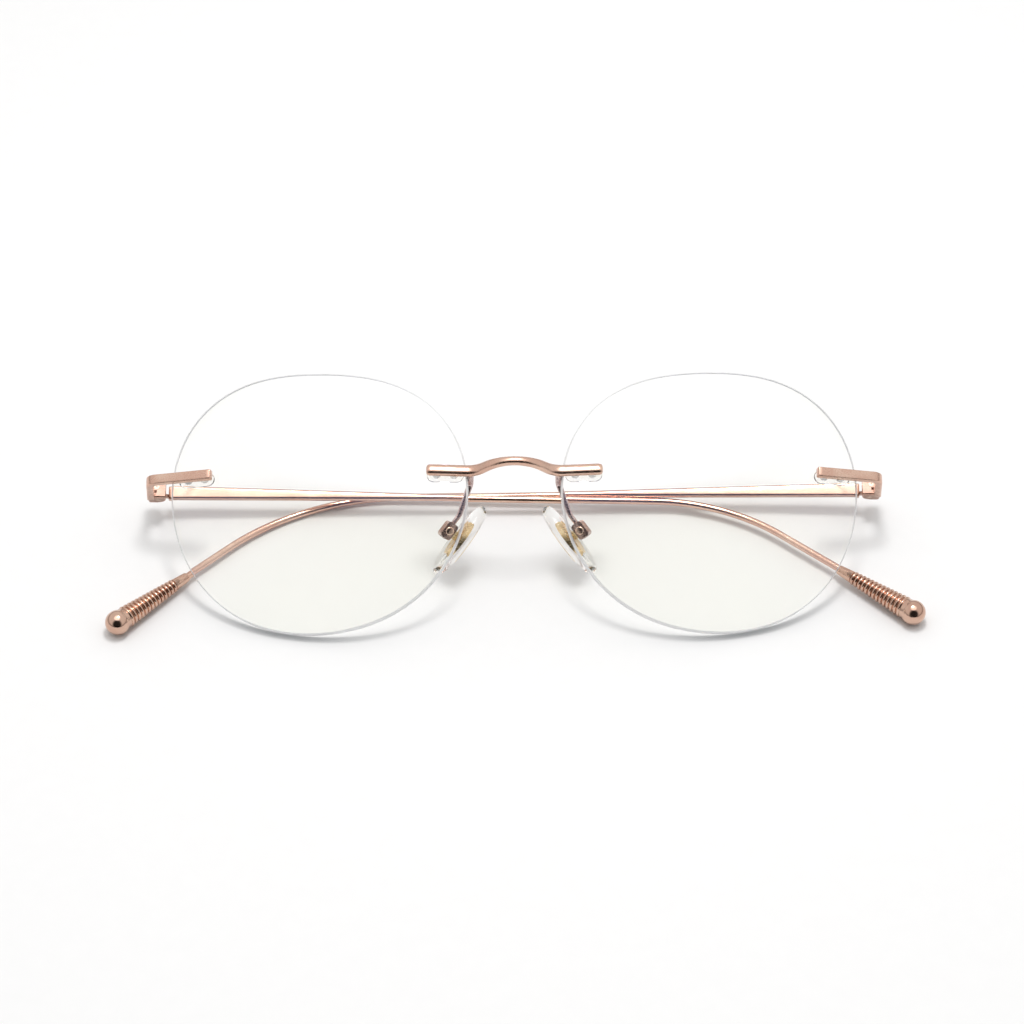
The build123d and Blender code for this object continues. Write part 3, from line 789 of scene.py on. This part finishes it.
def tip(side):
    bm = bmesh.new()
    add_rings(bm, turned_core())
    core = piece_from(side + "_temple_tip_shown", bm, Matrix.Identity(4), [turned_tip])
    ribs = core.modifiers.new("Ribs", "NODES")
    ribs.node_group = rib_nodes
    first = -TIP_LENGTH + PLAIN_LENGTH + PITCH / 2
    across = 1 + RIB_HALF_WIDTH
    sizes = {"Rib count": RING_COUNT, "First place": first, "Pitch": PITCH,
             "First radius": (cone_radius(first) + RING_HEIGHT) / across,
             "Radius step": (cone_radius(first + PITCH) - cone_radius(first)) / across,
             "Rib half width": RIB_HALF_WIDTH}
    for socket in rib_nodes.interface.items_tree:
        if socket.name in sizes:
            ribs[socket.identifier] = sizes[socket.name]
    bpy.context.view_layer.update()
    mesh = bpy.data.meshes.new_from_object(core.evaluated_get(bpy.context.evaluated_depsgraph_get()))
    name = core.name
    bpy.data.objects.remove(core)
    corner, ball, ahead = temple_line(side)
    sideways = ahead.cross(Vector((0, 0, 1))).normalized()
    lie = Matrix.Translation(ball) @ Matrix((ahead, sideways, ahead.cross(sideways))).transposed().to_4x4()
    bm = bmesh.new()
    bm.from_mesh(mesh)
    return piece_from(name, bm, to_table(side) @ temple_frame(side) @ lie, [turned_tip], sharp=60)


for side in SIDES:
    belongs(tip(side), side + "_temple_arm", "tip_metal", side + "_temple_tip")

# %% [markdown]
# ## Nose pads
# A nose pad is an oval of clear silicone, fuller on the side that touches the nose and nearly flat behind,
# moulded round a small gilt plate. The plate shows through it, so the pad is a true closed form with a
# clear material, not a shell with a picture of a plate.

# %% Pad frame and pad shape
PAD_CENTRE = Vector((9.6, 6.7, -5.7))
PAD_TOP = Vector((-0.60, -0.17, 0.78)).normalized()
PAD_SPLAY = math.radians(15)
PAD_HALF = (7.25, 3.65)
PAD_TAPER = 0.10
PAD_POINTS = 96
PAD_STEPS = 16
PAD_FRONT = 1.42
PAD_FRONT_POWER = 4.5
PAD_BACK = 1.25
PAD_BACK_POWER = 8
PAD_DISH = 0.25
towards_nose = Vector((-math.cos(PAD_SPLAY), math.sin(PAD_SPLAY), 0))
pad_out = (towards_nose - PAD_TOP * towards_nose.dot(PAD_TOP)).normalized()
pad_across = pad_out.cross(PAD_TOP)
pad_frame = Matrix.Translation(PAD_CENTRE) @ Matrix((PAD_TOP, pad_across, pad_out)).transposed().to_4x4()


def pad_ring(part, height):
    """One ring of the pad, a little narrower at its top end."""
    ring = []
    for k in range(PAD_POINTS):
        t = 2 * math.pi * k / PAD_POINTS
        across = part * (1 - PAD_TAPER * math.cos(t)) / (1 + PAD_TAPER)
        ring.append(Vector((PAD_HALF[0] * part * math.cos(t), PAD_HALF[1] * across * math.sin(t), height)))
    return ring


def pad_rings():
    """From the middle of the rounded face, over the edge, to the middle of the flatter, dished back."""
    parts = [math.sin(math.pi / 2 * k / PAD_STEPS) for k in range(1, PAD_STEPS + 1)]
    rings = [pad_ring(part, PAD_FRONT * (1 - part ** PAD_FRONT_POWER) ** 0.5) for part in parts]
    for part in reversed(parts[:-1]):
        height = -PAD_BACK * (1 - part ** PAD_BACK_POWER) ** 0.5 + PAD_DISH * (1 - part ** 2)
        rings.append(pad_ring(part, height))
    return rings


for side in SIDES:
    pad = piece(side + "_nose_pad_shown", [pad_rings()], to_table(side) @ pad_frame, [silicone], sharp=80)
    belongs(pad, side + "_nose_rest", "pad_silicone", side + "_nose_pad")

# %% [markdown]
# ## Pad arms
# Each pad hangs on a small blade of metal that leaves the back of the bridge, drops, swings back and ends
# in a screwed box. It is wider than it is thick and narrows on its way down.

# %% Pad arms
PAD_ARM_X = 7.7
PAD_ARM_ELBOW = Vector((PAD_ARM_X, 2.5, 3.3))
BOX_OFFSET = 2.75
BOX_HALF_LENGTH = 1.5
PAD_ARM_HALF = (0.36, 0.6075)
PAD_ARM_NARROWING = 0.018
PAD_ARM_RADII = [1.0, 2.5]


def pad_arm_path():
    root = nasal_frame @ Vector((PAD_ARM_X - nasal_frame.translation.x, -SEAT_GAP - 0.12, -0.5))
    door = pad_frame @ Vector((BOX_HALF_LENGTH, 0, -BOX_OFFSET))
    lead_in = pad_frame @ Vector((BOX_HALF_LENGTH + 1.8, 0, -BOX_OFFSET))
    return denser(rounded_path([root, PAD_ARM_ELBOW, lead_in, door], PAD_ARM_RADII, step=0.25), 0.5)


def pad_arm_section(run):
    return PAD_ARM_HALF[0], PAD_ARM_HALF[1] - PAD_ARM_NARROWING * run, 2.6


for side in SIDES:
    rings = swept_rings(pad_arm_path(), (1, 0, 0), pad_arm_section, 0.1)
    arm = piece(side + "_pad_arm_shown", [rings], to_table(side), [pad_wire_painted_reflection])
    belongs(arm, "front", "wire_metal", side + "_pad_arm")

# %% [markdown]
# ## Small machined parts
# The hinge blocks, tongues, screws, rivets, pad boxes and cores are already right as CAD solids, with
# real slots and clearances. They only need their own metal, so they stay, and each takes a finish that
# suits how it is made: satin for the block, polished for the screws.

# %% Finishes for the CAD nodes that stay
KEPT = {"hinge_front": satin_hinge, "hinge_tongue": satin_hinge, "hinge_rivet": screw_metal,
        "hinge_screw": screw_metal, "pad_screw": screw_metal, "pad_box": fitting_metal,
        "pad_core": core_gold, "bridge_sleeve": clear_plug, "endpiece_sleeve": clear_plug}
for side in SIDES:
    for name, finish in KEPT.items():
        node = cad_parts[side + "_" + name]
        for slot in node.material_slots:
            slot.material = finish
print("CAD nodes kept:", 2 * len(KEPT))

# %% [markdown]
# ## Table, light and camera
# The glasses lie on white paper under one soft lamp almost overhead, in a bright room. The lamp's size
# sets how soft the shadows are, and the room light keeps them pale. Metal shows only its surroundings,
# so the room is what makes it look like metal: a bright panel overhead gives each bar its cream top, and
# a dark wall low in front gives it the thin dark band below and each ball its dark spot.

# %% Paper
def paper():
    material = bpy.data.materials.new("White paper")
    material.use_nodes = True
    tree = material.node_tree
    shader = tree.nodes["Principled BSDF"]
    place = nodes_of(tree, "ShaderNodeTexCoord")
    fibre = nodes_of(tree, "ShaderNodeTexNoise")
    fibre.inputs["Scale"].default_value = 300
    tone = nodes_of(tree, "ShaderNodeMapRange")
    tone.inputs["To Min"].default_value = 0.86
    tone.inputs["To Max"].default_value = 0.88
    tree.links.new(place.outputs["Object"], fibre.inputs["Vector"])
    tree.links.new(fibre.outputs["Fac"], tone.inputs["Value"])
    tree.links.new(tone.outputs["Result"], shader.inputs["Base Color"])
    shader.inputs["Roughness"].default_value = 0.9
    shader.inputs["Specular IOR Level"].default_value = 0.1
    return material


FLOOR_HALF = 3.0
floor_mesh = bpy.data.meshes.new("floor")
corners = [(FLOOR_HALF * x, FLOOR_HALF * y, 0) for x, y in ((-1, -1), (1, -1), (1, 1), (-1, 1))]
floor_mesh.from_pydata(corners, [], [(0, 1, 2, 3)])
floor_mesh.materials.append(paper())
floor = bpy.data.objects.new("floor", floor_mesh)
floor.location.z = -0.02 * MM
bpy.context.scene.collection.objects.link(floor)

# %% Lamp and room
KEY_PLACE = Vector((0.017, 0.073, 0.48))
KEY_SIZE = 0.13
KEY_POWER = 0.80
ROOM = 0.87
PANEL = 1.15
PANEL_EDGES = (15.0, 30.0)
WALL_RISE = 30.0
WALL_EDGES = (28.0, 50.0)
WALL_TONE = 0.03
HORIZON_TOP = 0.35
HORIZON_TONE = 0.35


def lamp(name, place, target, size, power):
    data = bpy.data.lights.new(name, "AREA")
    data.shape = "DISK"
    data.size = size
    data.energy = power
    obj = bpy.data.objects.new(name, data)
    obj.location = place
    obj.rotation_euler = (Vector(target) - Vector(place)).to_track_quat("-Z", "Y").to_euler()
    bpy.context.scene.collection.objects.link(obj)
    return obj


lamp("key", KEY_PLACE, (0, 0.01, 0), KEY_SIZE, KEY_POWER)


def room():
    """A pale room: bright panel overhead, dark wall low in front, dim horizon all round."""
    world = bpy.data.worlds.new("Room")
    world.use_nodes = True
    tree = world.node_tree
    link = tree.links.new
    place = nodes_of(tree, "ShaderNodeTexCoord")
    rise = math.radians(WALL_RISE)
    nearness = nodes_of(tree, "ShaderNodeVectorMath", operation="DOT_PRODUCT")
    nearness.inputs[1].default_value = (0, -math.cos(rise), math.sin(rise))
    link(place.outputs["Generated"], nearness.inputs[0])
    wall = nodes_of(tree, "ShaderNodeMapRange", interpolation_type="SMOOTHSTEP")
    for name, value in (("From Min", math.cos(math.radians(WALL_EDGES[1]))),
                        ("From Max", math.cos(math.radians(WALL_EDGES[0]))),
                        ("To Min", 1.0), ("To Max", WALL_TONE)):
        wall.inputs[name].default_value = value
    link(nearness.outputs["Value"], wall.inputs["Value"])
    height = nodes_of(tree, "ShaderNodeSeparateXYZ")
    link(place.outputs["Generated"], height.inputs[0])
    horizon = nodes_of(tree, "ShaderNodeMapRange")
    for name, value in (("From Min", 0.0), ("From Max", HORIZON_TOP),
                        ("To Min", HORIZON_TONE), ("To Max", 1.0)):
        horizon.inputs[name].default_value = value
    link(height.outputs["Z"], horizon.inputs["Value"])
    both = nodes_of(tree, "ShaderNodeMath", operation="MULTIPLY")
    link(wall.outputs["Result"], both.inputs[0])
    link(horizon.outputs["Result"], both.inputs[1])
    panel = nodes_of(tree, "ShaderNodeMapRange", interpolation_type="SMOOTHSTEP")
    for name, value in (("From Min", math.cos(math.radians(PANEL_EDGES[1]))),
                        ("From Max", math.cos(math.radians(PANEL_EDGES[0]))),
                        ("To Min", 0.0), ("To Max", PANEL)):
        panel.inputs[name].default_value = value
    link(height.outputs["Z"], panel.inputs["Value"])
    level = nodes_of(tree, "ShaderNodeMath", operation="MULTIPLY_ADD")
    level.inputs[1].default_value = ROOM
    link(both.outputs[0], level.inputs[0])
    link(panel.outputs["Result"], level.inputs[2])
    tree.nodes["Background"].inputs["Color"].default_value = (1, 0.995, 0.99, 1)
    link(level.outputs[0], tree.nodes["Background"].inputs["Strength"])
    return world


bpy.context.scene.world = room()
bpy.context.scene.view_settings.view_transform = "Standard"

# %% Camera
CAMERA_TILT = 44.664
CAMERA_YAW = -0.40
CAMERA_DISTANCE = 600.0
CAMERA_SHIFT = Vector((-0.1446, -1.335, 0.7546))
LOOK_AT = Vector((0, 20, 8))
AIM_RIGHT = -0.000785
AIM_DOWN = 0.018973
FOCAL_RATIO = 3341 / 1024
SENSOR = 36.0
tilt = math.radians(CAMERA_TILT)
forward = Vector((0, math.cos(tilt), -math.sin(tilt)))
upward = Vector((0, math.sin(tilt), math.cos(tilt)))
turn_back = turned(z=CAMERA_YAW)
stand = turn_back @ (LOOK_AT - forward * CAMERA_DISTANCE)
aim = turn_back.to_3x3() @ (forward + Vector((1, 0, 0)) * AIM_RIGHT - upward * AIM_DOWN)
lens_data = bpy.data.cameras.new("camera")
lens_data.sensor_width = SENSOR
lens_data.lens = SENSOR * FOCAL_RATIO
lens_data.clip_start = 0.01
camera = bpy.data.objects.new("camera", lens_data)
camera.location = (stand + CAMERA_SHIFT) * MM
camera.rotation_euler = aim.to_track_quat("-Z", "Y").to_euler()
bpy.context.scene.collection.objects.link(camera)
bpy.context.scene.camera = camera

# %% Finish
bpy.context.view_layer.update()
